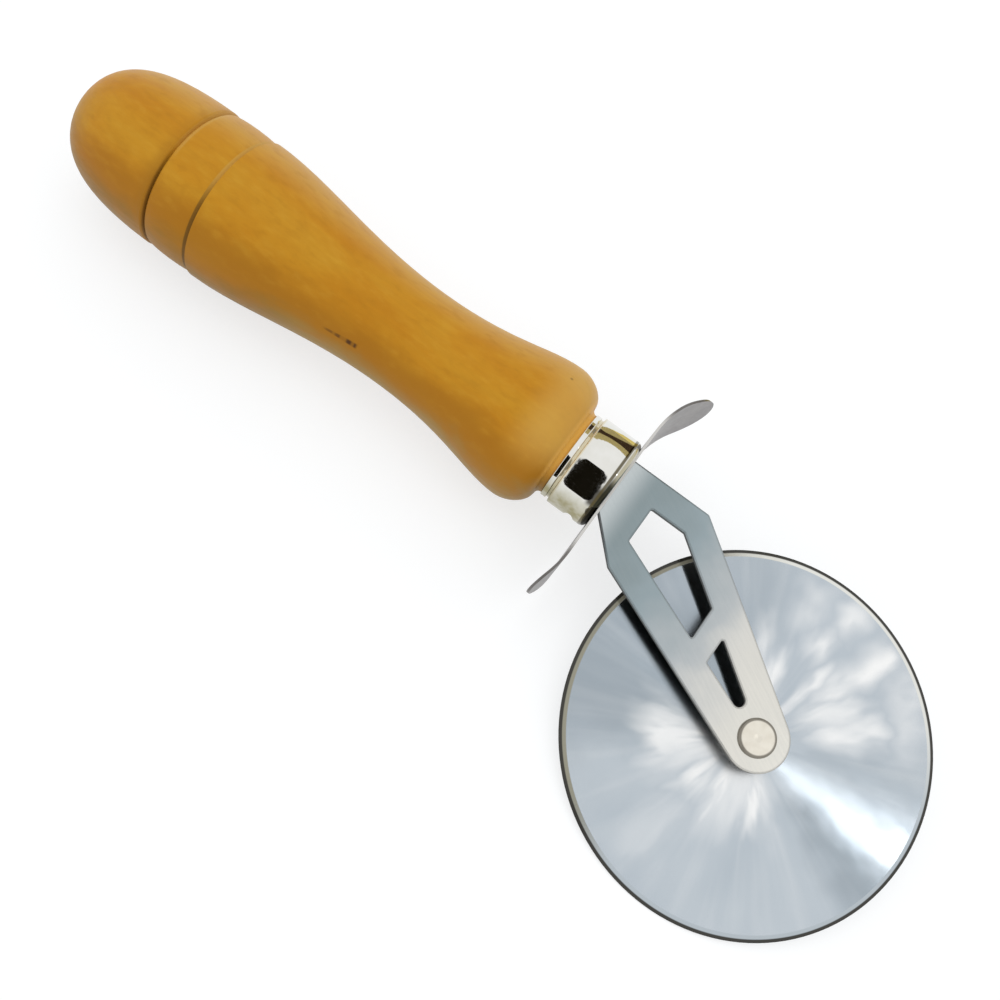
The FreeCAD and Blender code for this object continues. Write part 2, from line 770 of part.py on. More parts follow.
def axle_rivet():
    """Low head with a rounded edge, plain shank and a tail formed over the back washer."""
    head_z = "(arm_thickness / 2 + rivet_head_height)"
    tail_end_z = "(tail_front_z - rivet_tail_height)"
    tail = [
        ("rivet_tail_radius * tail_crown_share", tail_end_z),
        ("rivet_tail_radius", "tail_front_z - rivet_tail_height * tail_crown_share"),
        ("rivet_tail_radius", "tail_front_z"),
    ]
    return turned_on_axle(
        "axle_rivet",
        ("0", tail_end_z),
        [
            ("curve", *tail),
            ("line", ("shank_radius", "tail_front_z")),
            ("line", ("shank_radius", "arm_thickness / 2")),
            ("line", ("rivet_head_radius", "arm_thickness / 2")),
            ("line", ("rivet_head_radius", f"{head_z} - rivet_head_round")),
            ("arc", ("rivet_head_radius - rivet_head_round", head_z), "rivet_head_round", 1),
            ("line", ("rivet_dimple_radius", head_z)),
            ("line", ("0", f"{head_z} - rivet_dimple_depth")),
            ("line", ("0", tail_end_z)),
        ],
    )


def washer(label, front):
    back = f"{front} - washer_thickness"
    return turned_on_axle(
        label,
        ("shank_radius", back),
        [
            ("line", ("washer_radius", back)),
            ("line", ("washer_radius", front)),
            ("line", ("shank_radius", front)),
            ("line", ("shank_radius", back)),
        ],
    )


def hub_bush():
    """Bush with a shoulder against the blade's front and a riveted lip behind it."""
    return turned_on_axle(
        "hub_bush",
        ("hub_bore_radius", "hub_back_z"),
        [
            ("line", ("hub_seat_radius - hub_round", "hub_back_z")),
            ("line", ("hub_seat_radius", "hub_back_z + hub_round")),
            ("line", ("hub_seat_radius", "blade_front_z")),
            ("line", ("hub_radius", "blade_front_z")),
            ("line", ("hub_radius", "hub_front_z - hub_round")),
            ("line", ("hub_radius - hub_round", "hub_front_z")),
            ("line", ("hub_bore_radius", "hub_front_z")),
            ("line", ("hub_bore_radius", "hub_back_z")),
        ],
    )


def wheel_blade():
    """Flat disc, ground from both faces to a thin edge."""
    bevel_start = "wheel_radius - bevel_width"
    return turned_on_axle(
        "wheel_blade",
        ("hub_seat_radius", "blade_back_z"),
        [
            ("line", (bevel_start, "blade_back_z")),
            ("line", ("wheel_radius", "blade_middle_z - edge_thickness / 2")),
            ("line", ("wheel_radius", "blade_middle_z + edge_thickness / 2")),
            ("line", (bevel_start, "blade_front_z")),
            ("line", ("hub_seat_radius", "blade_front_z")),
            ("line", ("hub_seat_radius", "blade_back_z")),
        ],
    )


def rest_placement():
    """Roll about the handle's axis that sets the grip and the wheel's ground edge on one table."""
    reach = size("wheel_drop + wheel_radius - bevel_width")
    depth = -size("blade_back_z")
    roll = math.asin(size("grip_radius") / math.hypot(reach, depth)) - math.atan2(depth, reach)
    return FreeCAD.Placement(Vector(), FreeCAD.Rotation(Vector(1, 0, 0), math.degrees(roll)))


def check_document():
    for item in doc.Objects:
        if "Invalid" in item.State or "Error" in item.State:
            raise RuntimeError(f"{item.Name} failed: {item.State}")


def main():
    on_handle = [handle(), ferrule(), finger_guard(), wheel_arm()]
    on_axle = [
        axle_rivet(),
        washer("front_washer", "arm_back_z"),
        hub_bush(),
        wheel_blade(),
        washer("back_washer", "washer_front_z"),
    ]
    rest = rest_placement()
    axle = FreeCAD.Placement(Vector(size("wheel_x"), -size("wheel_drop"), 0), FreeCAD.Rotation())
    for body in on_handle:
        body.Placement = rest
    for body in on_axle:
        body.Placement = rest.multiply(axle)
    doc.recompute()
    check_document()
    for body in on_handle + on_axle:
        if body.Shape.isNull() or not body.Shape.isValid() or len(body.Shape.Solids) != 1:
            raise RuntimeError(f"{body.Label} is not one sound solid")
    os.makedirs("parts", exist_ok=True)
    for body in on_handle + on_axle:
        body.Shape.exportStep(f"parts/{body.Label}.step")
        box = body.Shape.BoundBox
        extent = f"{box.XLength:.2f} x {box.YLength:.2f} x {box.ZLength:.2f} mm"
        print(f"{body.Label}: {body.Shape.Volume:.1f} mm3, {extent}")


main()
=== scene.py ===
# Looks of a pizza cutter that lies on a pale table: the finish of every piece,
# the table, soft studio light and the camera. Metres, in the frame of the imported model.
import json
import math

import bpy
from mathutils import Matrix, Vector


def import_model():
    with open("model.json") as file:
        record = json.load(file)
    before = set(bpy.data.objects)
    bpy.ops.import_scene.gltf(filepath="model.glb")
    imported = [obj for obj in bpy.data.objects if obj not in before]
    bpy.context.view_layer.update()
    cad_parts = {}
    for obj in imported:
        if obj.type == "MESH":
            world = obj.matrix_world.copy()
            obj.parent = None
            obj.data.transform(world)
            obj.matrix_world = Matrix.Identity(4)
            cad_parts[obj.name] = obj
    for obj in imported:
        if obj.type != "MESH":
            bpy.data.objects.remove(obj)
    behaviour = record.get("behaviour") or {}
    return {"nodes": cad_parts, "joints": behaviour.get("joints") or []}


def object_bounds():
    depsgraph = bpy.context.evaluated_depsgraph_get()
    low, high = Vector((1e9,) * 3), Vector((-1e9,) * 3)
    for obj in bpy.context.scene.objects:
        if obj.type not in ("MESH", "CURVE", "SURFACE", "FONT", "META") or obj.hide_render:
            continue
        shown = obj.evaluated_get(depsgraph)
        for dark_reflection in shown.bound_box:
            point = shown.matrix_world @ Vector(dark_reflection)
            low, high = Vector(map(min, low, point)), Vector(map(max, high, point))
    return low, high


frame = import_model()
cad_low, cad_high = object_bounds()

MILLIMETRE = 0.001
PER_METRE = 1000.0
HALF_TURN = 180.0

# The axle gives the wheel's centre, its axis and how far the tool is rolled on the table
AXLE_PLACE = Vector(frame["joints"][0]["pos_m"])
AXLE = Vector(frame["joints"][0]["axis"])
ROLL = math.atan2(-AXLE.y, AXLE.z)
ROLLED = Matrix.Rotation(ROLL, 4, "X")
FLOOR_Z = cad_low.z

# Camera in the tool's own frame, before the roll, solved from the wheel's ellipse and the turned grooves
CAMERA_PLACE = Vector((0.049806, -0.072949, 0.223430))
CAMERA_FORWARD = Vector((-0.05965, 0.24217, -0.96840))
CAMERA_UP = Vector((-0.59282, 0.77193, 0.22955))
LENS = 39.6
SENSOR = 36.0
CLIP_START = 0.01

# Places on the pieces, in millimetres of the tool's own frame
HUB = ROLLED.inverted() @ AXLE_PLACE * PER_METRE
GROOVE_X = -59.25
STEP_GROOVE_X = -48.25
# Where painted shade lies beside groove one, on the butt's side
GROOVE_SIDE_SHADE_X = (GROOVE_X - 3.5, GROOVE_X - 0.4)
GROOVE_SIDE_SHADE_END_X = (GROOVE_X, GROOVE_X - 0.5)
GROOVE_LIP_X = GROOVE_X + 0.75
GROOVE_LOW_Y = (5.0, -11.0)
STEP_LOW_Y = (-1.0, -10.0)
BUTT_FADE_X = (-76.0, -89.0)
EDGE_FADE_X = (-35.0, -15.0)
# Where a painted highlight lies on the front of the bulb
BULB_HIGHLIGHT_X = (27.6, 35.6)
RIM_X = (39.7, 40.5)
FLAW_X = (-15.2, -13.6, -7.2, -6.4)
FLAW_DEEPENS_X = (-14.7, -7.7)
FLAW_ACROSS = -0.64
FLAW_SIDE = (4.0, 8.0)
SPECK = (33.6, 8.9, 13.6)
SPECK_RADII = (0.15, 0.5)
ROLLED_GROOVE_X = 43.65
FERRULE_FRONT_X = 53.55
WING_Y = (15.0, 20.0)
# X over which the arm's painted reflection turns from dark blue grey to warm and pale
ARM_REFLECTION_FADE_X = (56.0, 106.0)
# X over which the painted reflection of the guard fades out along the arm
ARM_GUARD_REFLECTION_X = (61.0, 54.0)
# Reach in mm of the painted dark reflection along the arm's edges
ARM_EDGE_REFLECTION_REACH = 0.4
HEAD_EDGE_RADII = (3.3, 3.65)
BEVEL_RADII = (38.4, 38.6)
EDGE_LINE_RADII = (39.15, 39.4)
UPPER_EDGE_Y = (5.0, 30.0)
# Radii of the painted highlight below the hub: gone at the first, strongest at the second
HUB_HIGHLIGHT_RADII = (22.0, 5.0)

# Distances behind the front edge of the ferrule, in millimetres, of its painted dark reflections, painted
# lip and painted shade in the gap to the guard, and how low that shade turns black
FERRULE_DARK_REFLECTION = (3.4, 2.4)
FERRULE_LINE = 1.45
FERRULE_GAP_SHADE = (1.3, 1.0)
FERRULE_LIP = (1.1, 0.8)
FERRULE_GAP_SHADE_Y = (-0.5, -4.0)

# Directions and angles in the tool's own frame
ALONG_X = (1.0, 0.0, 0.0)
UNDERSIDE = (0.0, -0.9505, -0.3107)
ACROSS_FLAW = (0.06, -0.5, -0.866)
TOWARDS_FLAW = (0.0, -0.866, 0.5)
TOWARDS_HANDLE = (-0.993, -0.116, 0.0)
BELOW_HUB = (-0.13, -0.99, 0.0)
STRAP_ANGLE = math.radians(28.0)

# Noise spreads over about this much of its range
NOISE_LOW = 0.3
NOISE_HIGH = 0.7

# How a sharp edge is found: the turn of the rounded normal, as cosines, and the rays per point
EDGE_COSINES = (0.995, 0.85)
EDGE_SAMPLES = 6

# Wood: sizes of its noises along and across the grain, per millimetre
BLOTCHES = (0.035, 0.09, 0.09)
CLOUDS = (0.06, 0.11, 0.11)
CLOUDS_SHIFT = (37.0, 11.0, 5.0)
GRAIN = (0.05, 1.1, 1.1)
MOTTLE = (0.25, 0.55, 0.55)
FLECKS = (0.35, 3.6, 3.6)

# Wood: colours
HONEY = ((0.32, (0.515, 0.205, 0.010)), (0.50, (0.55, 0.24, 0.014)), (0.70, (0.565, 0.275, 0.02)))
# Painted highlight: paler lacquer on top of the handle
WOOD_TOP_HIGHLIGHT = (0.63, 0.38, 0.12)
# Painted shade: darker orange down the side of the handle
WOOD_SIDE_SHADE = (0.375, 0.142, 0.008)
# Painted shade and light bounced from the table, on the handle's underside: brown towards the butt, olive
# towards the bulb
WOOD_UNDERSIDE_LIGHT_BROWN = (0.20, 0.115, 0.022)
WOOD_UNDERSIDE_LIGHT_OLIVE = (0.30, 0.20, 0.058)
WOOD_BUTT = (0.285, 0.20, 0.034)
WOOD_LIVELY = (0.63, 0.33, 0.035)
WOOD_DARK = (0.40, 0.165, 0.01)
WOOD_GRAIN = (0.38, 0.15, 0.009)
WOOD_FLECK = (0.33, 0.14, 0.01)
# Painted highlight on the front of the bulb
WOOD_BULB_HIGHLIGHT = (0.66, 0.40, 0.10)
WOOD_RIM = (0.80, 0.42, 0.08)
# Painted shade beside groove one, on the butt's side
GROOVE_SIDE_SHADE = (0.34, 0.14, 0.01)
# Painted highlight on the lip beside groove one, on the upper side
GROOVE_LIP_HIGHLIGHT = (0.60, 0.37, 0.10)
# Painted highlight inside groove one, on the upper side
GROOVE_INNER_HIGHLIGHT = (0.55, 0.33, 0.09)
# Painted shade inside groove one, growing towards the underside
GROOVE_INNER_SHADE = (0.075, 0.035, 0.01)
# Painted light on the step groove's slope: a highlight above, shade low down
STEP_HIGHLIGHT = (0.60, 0.37, 0.09)
STEP_SHADE = (0.10, 0.055, 0.012)
FLAW_DARK = (0.06, 0.022, 0.008)

# Ferrule: colours
PLATE = ((0.745, 0.738, 0.69), (0.795, 0.79, 0.755))
PLATE_YELLOWED = (0.66, 0.55, 0.30)
# Painted shade: darker underneath, a reflection of the shaded table
PLATE_UNDERSIDE_SHADE = (0.33, 0.30, 0.165)
# Painted dark reflection low on the ferrule, behind its front edge
PLATE_DARK_REFLECTION = (0.035, 0.03, 0.02)
# Painted reflections near the ferrule's front edge: a dark line and a pale lip
PLATE_LINE_REFLECTION = (0.10, 0.08, 0.035)
PLATE_LIP_REFLECTION = (0.40, 0.36, 0.23)
# Painted shade: black low in the gap between the ferrule and the guard
PLATE_GAP_SHADE = (0.02, 0.02, 0.012)

# Guard, arm, rivet and washers: colours
SHEET = ((0.245, 0.234, 0.232), (0.30, 0.287, 0.282))
# Painted light on the sheared edges: a highlight in the middle, a dark reflection on the wings
CUT_EDGE_HIGHLIGHT = (0.72, 0.71, 0.68)
CUT_EDGE_DARK_REFLECTION = (0.15, 0.14, 0.13)
# Painted reflection: the arm's front from dark blue grey at the root to warm and pale by the rivet
ARM_FRONT_REFLECTION = (
    (0.0, (0.245, 0.300, 0.313)),
    (0.27, (0.305, 0.371, 0.397)),
    (0.64, (0.485, 0.514, 0.527)),
    (0.88, (0.680, 0.675, 0.640)),
    (1.0, (0.735, 0.720, 0.665)),
)
# Painted reflection of the guard: paler steel next to it
ARM_GUARD_REFLECTION = (0.54, 0.585, 0.595)
ARM_BRUSHED = (0.36, 0.39, 0.40)
# Painted dark reflection along the arm's edges
ARM_EDGE_DARK_REFLECTION = (0.07, 0.07, 0.068)
# Rough cut walls of the arm, painted near black as a dark reflection
ARM_WALL_DARK_REFLECTION = (0.06, 0.055, 0.048)
# Painted shade: the back of the arm, which faces the blade, made dark
ARM_BACK_SHADE = (0.085, 0.08, 0.07)
RIVET = ((0.70, 0.66, 0.575), (0.77, 0.735, 0.65))
# Painted dark reflection and contact shadow round the rivet head's edge
RIVET_EDGE_SHADE = (0.16, 0.145, 0.12)
WASHER = ((0.40, 0.40, 0.39), (0.50, 0.50, 0.49))

# Blade: colours
FACE = ((0.465, 0.522, 0.575), (0.522, 0.575, 0.622))
# Painted shade: darker sectors of the blade's face
FACE_SHADE = (0.305, 0.355, 0.395)
# Painted highlight: near white rays, marks and glow below the hub on the blade's face
FACE_HIGHLIGHT = (0.93, 0.935, 0.93)
BEVEL_LOWER = (0.46, 0.50, 0.53)
# Painted reflections on the bevel: paler on the upper side, olive-brown on the handle's side
BEVEL_UPPER_REFLECTION = (0.78, 0.76, 0.70)
BEVEL_HANDLE_SIDE_REFLECTION = (0.30, 0.28, 0.21)
BEVEL_EDGE = (0.03, 0.028, 0.022)

# Blade: painted highlights as marks, as degrees from X, half width in degrees, start and end in mm, strength
HIGHLIGHT_MARKS = (
    (103.0, 8.0, 7.0, 19.0, 0.85),
    (115.0, 5.0, 14.0, 26.0, 0.6),
    (98.0, 6.0, 26.0, 35.0, 0.45),
    (86.0, 6.0, 22.0, 29.0, 0.8),
    (82.0, 4.5, 31.0, 36.0, 1.0),
    (74.0, 4.5, 5.0, 22.0, 0.95),
    (64.0, 6.0, 17.0, 38.0, 0.95),
    (52.0, 10.0, 11.0, 28.0, 0.75),
    (38.0, 9.0, 13.0, 29.0, 0.85),
    (42.0, 16.0, 31.0, 42.0, 0.55),
    (-147.0, 18.0, 6.0, 22.0, 0.85),
    (-114.0, 14.0, 5.0, 17.0, 0.85),
    (-90.0, 12.0, 5.0, 18.0, 0.9),
    (-52.0, 15.0, 5.0, 18.0, 0.9),
    (-104.0, 9.0, 18.0, 36.0, 0.25),
)
# Blade: sectors darkened by painted shade, in the same terms, and the half width of the shaded sector
# towards the handle
SHADED_SECTORS = (
    (-17.0, 9.0, 14.0, 50.0, 1.0),
    (20.0, 10.0, 12.0, 46.0, 0.35),
    (128.0, 22.0, 20.0, 46.0, 0.5),
)
HANDLE_SHADE_HALF = 50.0
HANDLE_SHADE_FULL = 20.0
# Blade: how marks fade, as a multiple of the half width, and in mm from their start and from their end
MARK_SPREAD = 1.8
MARK_START = (-3.0, 4.0)
MARK_END = (4.0, -5.0)

# Table and surround
FLOOR_HALF = 3.0
FLOOR_GLOW = 0.68
FLOOR_PALE = (0.86, 0.86, 0.86)
FLOOR_GREY = (0.8, 0.8, 0.8)
FLOOR_SHOWN = (0.36, 0.36, 0.36, 1.0)
FILL_COLOUR = (0.93, 0.97, 1.0, 1.0)
FILL_STRENGTH = 0.93
WHITE = (1.0, 1.0, 1.0, 1.0)

# Lamps, in the tool's own frame
WINDOW_PLACE = (-0.1265, 0.4875, 0.6)
WINDOW_AIM = (-0.1265, 0.4875, 0.0)
FLARE_PLACE = (0.4295, 0.109, 0.660)
FLARE_BORDER_PLACE = (0.4295, 0.136, 0.660)
FLARE_AIM = (0.107, -0.025, -0.004)

# Studio cloths: the dark curtains lie on a cylinder round the tool's X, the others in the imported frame
CURTAIN_REACH = 0.55
CURTAIN_FOOT = math.radians(172.0)
CURTAIN_CORNER = 0.0054
CURTAIN_ROUNDING = math.radians(18.0)
CURTAIN_DARK = (0.010, 0.008, 0.005)
GOLD_OUTLINE = (
    (0.0395, 0.395),
    (0.0435, 0.22),
    (0.0482, 0.095),
    (0.0548, 0.065),
    (0.12, 0.05),
    (0.12, 0.395),
)
GOLD = (0.8, 0.62, 0.2)
OLIVE = (0.50, 0.39, 0.16)
BROWN = (0.06, 0.035, 0.018)
CLOTH_LEFT = 0.015
CLOTH_RIGHT = 0.075
CLOTH_MIDDLE = 0.0470
CLOTH_BEND_SIDE = 0.0115
CLOTH_MOST_BEND = 2.2


class Nodes:
    """Short calls for building one shader tree. Values are numbers, colours or sockets."""

    def __init__(self, tree):
        self.tree = tree
        tree.nodes.clear()

    def feed(self, socket, value):
        if isinstance(value, bpy.types.NodeSocket):
            self.tree.links.new(value, socket)
        else:
            socket.default_value = value

    def add(self, kind, inputs=None, **settings):
        node = self.tree.nodes.new("ShaderNode" + kind)
        for name, value in settings.items():
            setattr(node, name, value)
        for name, value in (inputs or {}).items():
            self.feed(node.inputs[name], value)
        return node

    def math(self, operation, *values):
        node = self.add("Math", operation=operation)
        for socket, value in zip(node.inputs, values):
            self.feed(socket, value)
        return node.outputs[0]

    def times(self, *values):
        product = values[0]
        for value in values[1:]:
            product = self.math("MULTIPLY", product, value)
        return product

    def unsigned(self, value):
        return self.math("ABSOLUTE", value)

    def off(self, value, place):
        """How far a value lies from a place, to either side."""
        return self.unsigned(self.math("SUBTRACT", value, place))

    def vector(self, operation, *values):
        node = self.add("VectorMath", operation=operation)
        for socket, value in zip(node.inputs, values):
            self.feed(socket, value)
        scalar = operation in ("DOT_PRODUCT", "LENGTH", "DISTANCE")
        return node.outputs["Value" if scalar else "Vector"]

    def scaled(self, vector, factor):
        inputs = {"Vector": vector, "Scale": factor}
        return self.add("VectorMath", inputs, operation="SCALE").outputs["Vector"]

    def turned(self, vector, rotation):
        """A vector turned by angles about X, Y and Z."""
        return self.add("Mapping", {"Vector": vector, "Rotation": rotation}).outputs[0]

    def place_mm(self):
        """The point in the tool's own frame, in millimetres, with its roll on the table taken out."""
        place = self.scaled(self.add("TexCoord").outputs["Object"], PER_METRE)
        return self.turned(place, (-ROLL, 0.0, 0.0))

    def underside(self, place):
        """How far a point lies towards the underside of the handle, from -1 to 1."""
        round_x = self.vector("NORMALIZE", self.vector("MULTIPLY", place, (0.0, 1.0, 1.0)))
        return self.vector("DOT_PRODUCT", round_x, UNDERSIDE)

    def facing(self, direction):
        """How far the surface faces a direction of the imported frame, from -1 to 1."""
        return self.vector("DOT_PRODUCT", self.add("TexCoord").outputs["Normal"], tuple(direction))

    def near_edge(self, reach_mm):
        """From 0 on a flat face to 1 at a sharp edge, over a narrow strip."""
        rounded = self.add("Bevel", {"Radius": reach_mm * MILLIMETRE}, samples=EDGE_SAMPLES).outputs[0]
        flat = self.add("NewGeometry").outputs["Normal"]
        return self.span(self.vector("DOT_PRODUCT", rounded, flat), *EDGE_COSINES)

    def split(self, vector):
        return self.add("SeparateXYZ", {"Vector": vector}).outputs

    def along_z(self, value):
        return self.add("CombineXYZ", {"Z": value}).outputs[0]

    def noise(self, place, scale, detail=2.0, roughness=0.5, distortion=0.0):
        """Noise of one size per millimetre, or a stretched one where scale is a triple."""
        if isinstance(scale, tuple):
            place = self.vector("MULTIPLY", place, scale)
            scale = 1.0
        inputs = {"Vector": place, "Scale": scale, "Detail": detail}
        inputs.update({"Roughness": roughness, "Distortion": distortion})
        return self.add("TexNoise", inputs).outputs["Fac"]

    def span(self, value, low, high, to_low=0.0, to_high=1.0):
        """Smooth step of a value from one range to another."""
        inputs = {"Value": value, "From Min": low, "From Max": high, "To Min": to_low, "To Max": to_high}
        return self.add("MapRange", inputs, interpolation_type="SMOOTHSTEP").outputs[0]

    def vary(self, noise, low, high):
        """A noise spread from one number to another."""
        return self.span(noise, NOISE_LOW, NOISE_HIGH, low, high)

    def ramp(self, value, *stops):
        node = self.add("ValToRGB", {"Fac": value})
        elements = node.color_ramp.elements
        while len(elements) < len(stops):
            elements.new(0.5)
        for element, (position, colour) in zip(elements, stops):
            element.position = position
            element.color = (*colour, 1.0)
        return node.outputs["Color"]

    def tones(self, noise, colours):
        """A noise spread from one colour to another."""
        return self.ramp(noise, (NOISE_LOW, colours[0]), (NOISE_HIGH, colours[1]))

    def mix(self, share, first, second):
        """The first colour, turning into the second as the share goes from 0 to 1."""
        node = self.add("Mix", data_type="RGBA")
        for socket, value in zip((node.inputs[0], node.inputs[6], node.inputs[7]), (share, first, second)):
            if isinstance(value, tuple):
                value = (*value, 1.0)
            self.feed(socket, value)
        return node.outputs[2]

    def bump(self, height, depth_mm):
        inputs = {"Height": height, "Strength": 1.0, "Distance": depth_mm * MILLIMETRE}
        return self.add("Bump", inputs).outputs[0]

    def surface(self, shader):
        self.tree.links.new(shader, self.add("OutputMaterial").inputs["Surface"])

    def principled(self, inputs):
        self.surface(self.add("BsdfPrincipled", inputs).outputs[0])


def new_material(name):
    """A new material, and the calls that build it."""
    material = bpy.data.materials.new(name)
    material.use_nodes = True
    return material, Nodes(material.node_tree)


def lacquer(n, place, grain, blotches):
    """Round the handle: pale on top as a painted highlight, then honey, orange as painted shade, and brown
    and olive underneath as painted shade and light bounced from the table, with mottle and grain.
    """
    x = n.split(place)[0]
    under = n.underside(place)
    clouds = n.noise(n.vector("ADD", place, CLOUDS_SHIFT), CLOUDS, 4.0, 0.6, 0.4)
    mottle = n.noise(place, MOTTLE, 3.0, 0.55)
    flecks = n.noise(place, FLECKS)
    patchy = n.math("ADD", under, n.span(clouds, 0.25, 0.75, -0.14, 0.14))
    honey = n.ramp(blotches, *HONEY)
    # Painted highlight: paler towards the top of the handle
    pale = n.mix(n.span(under, -0.55, -1.0, 0.0, 0.5), honey, WOOD_TOP_HIGHLIGHT)
    # Painted shade: a darker orange band between the top and the underside
    side_shade = n.times(n.span(patchy, 0.05, 0.55), n.span(patchy, 1.15, 0.75))
    orange = n.mix(n.times(side_shade, 0.8), pale, WOOD_SIDE_SHADE)
    # Painted shade and light bounced from the table on the underside, brown towards the butt and olive
    # towards the bulb
    edge = n.mix(n.span(x, *EDGE_FADE_X), WOOD_UNDERSIDE_LIGHT_BROWN, WOOD_UNDERSIDE_LIGHT_OLIVE)
    olive = n.mix(n.span(patchy, 0.62, 1.04, 0.0, 0.82), orange, edge)
    butt = n.times(n.span(x, *BUTT_FADE_X), n.span(patchy, -0.6, 0.5))
    ended = n.mix(n.times(butt, 0.6), olive, WOOD_BUTT)
    lively = n.times(n.span(mottle, 0.5, 0.72, 0.0, 0.22), n.span(under, 0.9, 0.2))
    light = n.mix(lively, ended, WOOD_LIVELY)
    dark = n.mix(n.span(mottle, 0.5, 0.28, 0.0, 0.28), light, WOOD_DARK)
    grained = n.mix(n.span(grain, 0.35, 0.65, 0.13, 0.0), dark, WOOD_GRAIN)
    flecked = n.mix(n.span(flecks, 0.62, 0.74, 0.0, 0.10), grained, WOOD_FLECK)
    # Painted highlight on the front of the bulb, away from the underside
    bulb_highlight = n.times(n.span(x, *BULB_HIGHLIGHT_X), n.span(under, 0.6, 0.0))
    bulb_lit = n.mix(n.times(bulb_highlight, 0.45), flecked, WOOD_BULB_HIGHLIGHT)
    rim = n.times(n.span(x, *RIM_X), n.span(under, 0.9, 0.3))
    return n.mix(n.times(rim, 0.75), bulb_lit, WOOD_RIM)


def grooves(n, place, wood):
    """The two turned grooves: painted shade low down, and painted highlights on their lips and slopes above.
    """
    x, y = n.split(place)[0:2]
    low = n.span(y, *GROOVE_LOW_Y)
    lower = n.span(y, *STEP_LOW_Y)
    # Painted shade beside groove one on the butt's side, stronger low down
    butt_side_shade = n.times(n.span(x, *GROOVE_SIDE_SHADE_X), n.span(x, *GROOVE_SIDE_SHADE_END_X))
    butt_side_shaded = n.mix(n.times(butt_side_shade, n.span(low, 0.0, 1.0, 0.3, 0.6)), wood, GROOVE_SIDE_SHADE)
    # Painted highlight on the lip beside groove one, fading towards the low side
    lip = n.times(n.span(n.off(x, GROOVE_LIP_X), 0.15, 0.6, 0.4, 0.0), n.span(low, 0.7, 0.2))
    lipped = n.mix(lip, butt_side_shaded, GROOVE_LIP_HIGHLIGHT)
    inside = n.span(n.off(x, GROOVE_X), 0.1, 0.6, 1.0, 0.0)
    # Painted highlight inside groove one, on the upper side only
    groove_lit = n.mix(n.times(inside, n.span(low, 0.6, 0.1), 0.4), lipped, GROOVE_INNER_HIGHLIGHT)
    # Painted shade inside groove one: none on top, strongest low down
    groove_inner_shade = n.times(inside, n.span(low, 0.25, 1.0, 0.0, 0.65))
    lined = n.mix(groove_inner_shade, groove_lit, GROOVE_INNER_SHADE)
    # Painted light on the step groove's slope: a highlight on the upper side, shade on the lower
    slope = n.span(n.off(x, STEP_GROOVE_X), 0.4, 0.65, 1.0, 0.0)
    step_lit = n.mix(n.times(slope, n.math("SUBTRACT", 1.0, lower), 0.5), lined, STEP_HIGHLIGHT)
    return n.mix(n.times(slope, lower, 0.7), step_lit, STEP_SHADE)


def flaws(n, place, wood):
    """A short broken flaw on the lower side of the waist, and one speck on the bulb."""
    x = n.split(place)[0]
    start, full, fading, end = FLAW_X
    across = n.off(n.vector("DOT_PRODUCT", place, ACROSS_FLAW), FLAW_ACROSS)
    near_side = n.span(n.vector("DOT_PRODUCT", place, TOWARDS_FLAW), *FLAW_SIDE)
    length = n.times(n.span(x, start, full), n.span(x, fading, end, 1.0, 0.0))
    along = n.add("CombineXYZ", {"X": x}).outputs[0]
    dashes = n.span(n.noise(along, 0.55, 0.0), 0.38, 0.55, 0.25, 1.0)
    depth = n.span(x, *FLAW_DEEPENS_X, 0.5, 1.0)
    middle = n.span(n.math("DIVIDE", across, depth), 0.3, 0.85, 0.95, 0.0)
    flaw = n.times(middle, near_side, length, dashes, depth)
    speck = n.span(n.vector("DISTANCE", place, SPECK), *SPECK_RADII, 0.5, 0.0)
    return n.mix(n.math("MAXIMUM", flaw, speck), wood, FLAW_DARK)


def wood_material():
    """Honey lacquer over pale, close-grained wood, with the grain along X."""
    material, n = new_material("honey_wood")
    place = n.place_mm()
    blotches = n.noise(place, BLOTCHES, 3.0, 0.55, 0.6)
    grain = n.noise(place, GRAIN, 5.0, 0.62, 0.3)
    colour = flaws(n, place, grooves(n, place, lacquer(n, place, grain, blotches)))
    skin = n.math("ADD", n.times(grain, 0.5), blotches)
    n.principled(
        {
            "Base Color": colour,
            "Roughness": n.vary(grain, 0.38, 0.48),
            "Normal": n.bump(skin, 0.04),
            "Specular IOR Level": 0.18,
            "Specular Tint": (1.0, 0.8, 0.5, 1.0),
        }
    )
    return material


